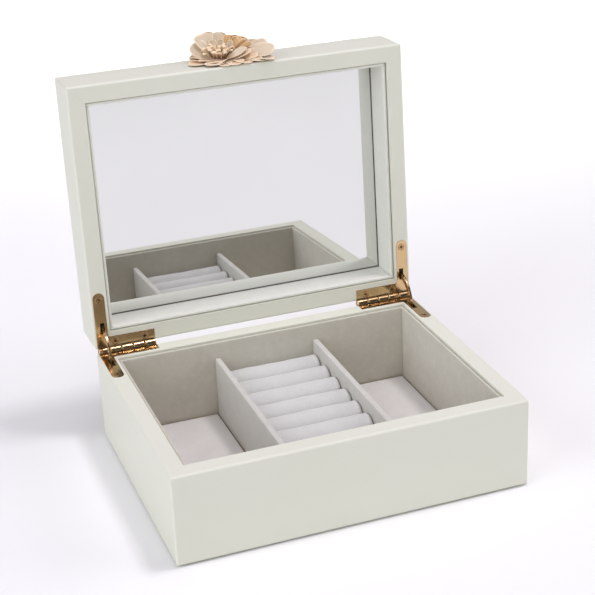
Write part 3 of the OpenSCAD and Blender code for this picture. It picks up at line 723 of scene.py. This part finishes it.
INNER_PETALS = [
    (PALE, (-2.6, -4.6, 2.2), (1.6, -7.6, 4.6), (7.2, -7.8, 7.2), (-0.12, 0.92, 0.3), 6.8, 0.42, 0.25, 0.4),
    (PEACH, (-1.6, -4.8, 1.8), (3.4, -8.4, 3.6), (9.2, -8.6, 6.2), (-0.1, 0.92, 0.3), 6.8, 0.4, 0.3, 0.4),
    (PEACH, (2, -4.8, 1.9), (6.6, -8.6, 2.8), (12.4, -10.4, 3.8), (-0.1, 0.7, 0.6), 5.6, 0.4, 0.3, 0.4),
    (PEACH, (2, -3.4, 2.2), (9, -5.2, 3.6), (18, -5.4, 5.0), (-0.2, 0.75, 0.5), 5.4, 0.42, 0.3, 0.5),
    (GOLDEN, (1.5, -2, 2.4), (5.6, -3.2, 5.6), (11.6, -3.2, 8.2), (-0.35, -0.35, 0.85), 4.6, 0.45, 0.3, 0.7),
    (GOLDEN, (1, 0, 2.4), (4.4, -0.6, 6.2), (9.6, -0.2, 9.4), (-0.2, -0.5, 0.8), 4.8, 0.6, 0.3, 1.0),
    (PALE, (-0.5, 0.6, 2.4), (1.0, 0.4, 6), (1.6, 0.6, 10.2), (0.98, -0.2, 0), 3.6, 0.7, 0.2, 0.5),
    (GOLDEN, (0.5, 1.8, 2.4), (4, 2.6, 6), (5.8, 3, 11), (0.85, -0.5, 0), 5.2, 0.7, 0.4, 0.9),
    (PALE, (-4, 3.4, 2.4), (-6, 6, 6), (-7.4, 7.6, 10), (0.9, 0.2, 0.1), 5.6, 0.7, 0.4, 0.7),
    (PALE, (-2.6, 3, 2.4), (-3, 4.4, 6), (-2.6, 5.2, 10.6), (1, -0.1, 0), 4, 0.7, 0.3, 0.6),
]
# Nearest that a petal comes to the lid's front face, in millimetres
PETAL_CLEARANCE = 0.35


def petal_place(petal, along, across):
    """Place on a petal: along it from 0 at its root to 1 at its tip, across it from -1 to 1."""
    root, middle, tip, wide_way, width, blunt, wave, cup = petal
    root, middle, tip = Vector(root), Vector(middle), Vector(tip)
    side = Vector(wide_way).normalized()
    line = (1 - along) ** 2 * root + 2 * along * (1 - along) * middle + along ** 2 * tip
    ahead = (2 * (1 - along) * (middle - root) + 2 * along * (tip - middle)).normalized()
    side = (side - ahead * side.dot(ahead)).normalized()
    face = ahead.cross(side)
    face = -face if face.z < 0 else face
    # Width here as a share of the petal's own: slim at the root, rounded off at the tip
    rounding = (1 - along ** (2.2 + 12 * blunt ** 2)) ** 0.5
    share = (0.14 + 0.86 * along ** 0.7) * rounding * (1.22 - 0.2 * blunt)
    phase = sum(root) + 3 * sum(tip)
    half = width / 2 * share * (1 + 0.05 * math.sin(9 * along + phase))
    # The cloth waves in two sizes and its sides cup up; both fade where the petal is narrow
    ripple = wave * along ** 1.4 * (0.2 + across * across) * math.sin(4.6 * across + phase + 5 * along)
    ripple += 0.3 * wave * along * math.sin(11 * across + 2 * phase + 3 * along)
    lift = cup * across * across * math.sin(math.pi * min(1, along * 1.1) / 2) + ripple
    lift *= min(1, 1.3 * share)
    place = line + side * half * across + face * lift
    place.z = max(PETAL_CLEARANCE, place.z)
    return place


def mark_cloth(sheet):
    """Notes on each corner how far along and across the cut cloth it is; returns the flat places."""
    marks = sheet.data.uv_layers.active
    marks.name = CLOTH_MAP
    flat = [vert.co.copy() for vert in sheet.data.vertices]
    for corner in sheet.data.loops:
        place = flat[corner.vertex_index]
        marks.data[corner.index].uv = ((place.x + 1) / 2, (place.y + 1) / 2)
    return flat


def cut_petal(name, finish, petal, rows=26, columns=18, thick=0.25 * MM):
    """Cuts one petal of cloth and shapes it; its rows lie closer together towards the tip."""
    sheet = fresh(name, bpy.ops.mesh.primitive_grid_add, x_subdivisions=rows, y_subdivisions=columns, size=2)
    for vert in sheet.data.vertices:
        vert.co.x = 2 * math.sin((vert.co.x + 1) * math.pi / 4) - 1
    for vert, place in zip(sheet.data.vertices, mark_cloth(sheet)):
        vert.co = off_lid(*petal_place(petal, min(0.9995, (place.x + 1) / 2), place.y))
    modify(sheet, "SOLIDIFY", thickness=thick, offset=0)
    paint(sheet, finish)
    return sheet


def petal_layer(layer, petals, stands_for=None):
    """All petals of one layer as one piece."""
    cut = []
    for number, (finish, *petal) in enumerate(petals, 1):
        cut.append(cut_petal("%s_petal_%d" % (layer, number), finish, petal))
    whole = joined("flower_%s_petals_cloth" % layer, cut)
    smooth(whole, 70)
    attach(whole, "lid")
    if stands_for:
        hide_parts(stands_for)


def curl(name, at, aim, tall, turns, lean, wide, steps=26, thick=0.22 * MM):
    """Small strip of cloth that stands up, leaning outwards, and curls over at its tip."""
    strip = fresh(name, bpy.ops.mesh.primitive_grid_add, x_subdivisions=steps, y_subdivisions=5, size=2)
    # It is nearly straight at first and curls ever more tightly towards its tip
    path, out, up, angle = [], 0.0, 0.0, math.radians(90 - lean)
    for step in range(steps + 1):
        path.append((out, up))
        angle -= math.radians(turns) / steps * (0.1 + 6.3 * (step / steps) ** 6)
        out += tall / steps * math.cos(angle)
        up += tall / steps * math.sin(angle)
    facing, beside = math.cos(aim), math.sin(aim)
    for vert, place in zip(strip.data.vertices, mark_cloth(strip)):
        along = (place.x + 1) / 2
        out, up = path[round(along * steps)]
        # Narrow at its foot, and a little hollow across its width
        half = wide / 2 * (0.55 + 0.6 * along - 0.35 * along ** 6) * place.y
        out += 0.14 * wide * place.y ** 2
        x = at[0] + out * facing - half * beside
        y = at[1] + out * beside + half * facing
        vert.co = off_lid(x, y, at[2] + up)
    modify(strip, "SOLIDIFY", thickness=thick, offset=0)
    paint(strip, CREAM)
    return strip


def curled_heart(count=28, golden_angle=137.5):
    """Curled strips set evenly in an oval, the outer ones shorter and leaning out."""
    middle_x, middle_y, foot, half_length, half_breadth = -5.4, 0.6, 2.2, 4.4, 3.8
    chance = random.Random(11)
    curls = []
    for number in range(count):
        ring = math.sqrt((number + 0.4) / count)
        aim = math.radians(golden_angle * number)
        x = middle_x + half_length * ring * math.cos(aim)
        y = middle_y + half_breadth * ring * math.sin(aim)
        tall = 9.8 - 3.2 * ring + chance.uniform(-1.2, 1.2)
        facing = aim + chance.uniform(-0.5, 0.5)
        turns = 200 + chance.uniform(-30, 60)
        wide = 2.5 + chance.uniform(-0.4, 0.5)
        curls.append(curl("curl_%d" % number, (x, y, foot), facing, tall, turns, 4 + 30 * ring, wide))
    heart = joined("flower_curled_stamens", curls)
    smooth(heart, 60)
    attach(heart, "lid")
    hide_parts("flower_stamens")


# Floor
def paper_floor():
    """Wide sheet of pale paper that the box stands on."""
    floor = fresh("floor", bpy.ops.mesh.primitive_plane_add, size=12, location=(0, 0, 0))
    material, _, shader = finish_named("floor_paper", roughness=0.9)
    shader.inputs["Base Color"].default_value = rgb(246, 246, 246)
    paint(floor, material)


for number in range(1, 9):
    ring_roll(number, 40 + number)
for seed, side in enumerate(("left", "right"), 4):
    floor_pad(side)
    cloth_board(side + "_divider", "base", DIVIDER, 0.7 * MM, 0.05 * MM, seed)
for seed, side in enumerate(("front", "back", "left", "right")):
    cloth_board("base_%s_lining" % side, "base", LINING, 0.45 * MM, 0.05 * MM, seed)
    cloth_board("lid_%s_lining" % side, "lid", LID_LINING, 0.45 * MM, 0.05 * MM, seed + 4)
felt_sheet()
felt_disc()
petal_layer("under", UNDER_PETALS, "flower_outer_petals")
petal_layer("over", OVER_PETALS)
petal_layer("inner", INNER_PETALS, "flower_inner_petals")
curled_heart()
paper_floor()
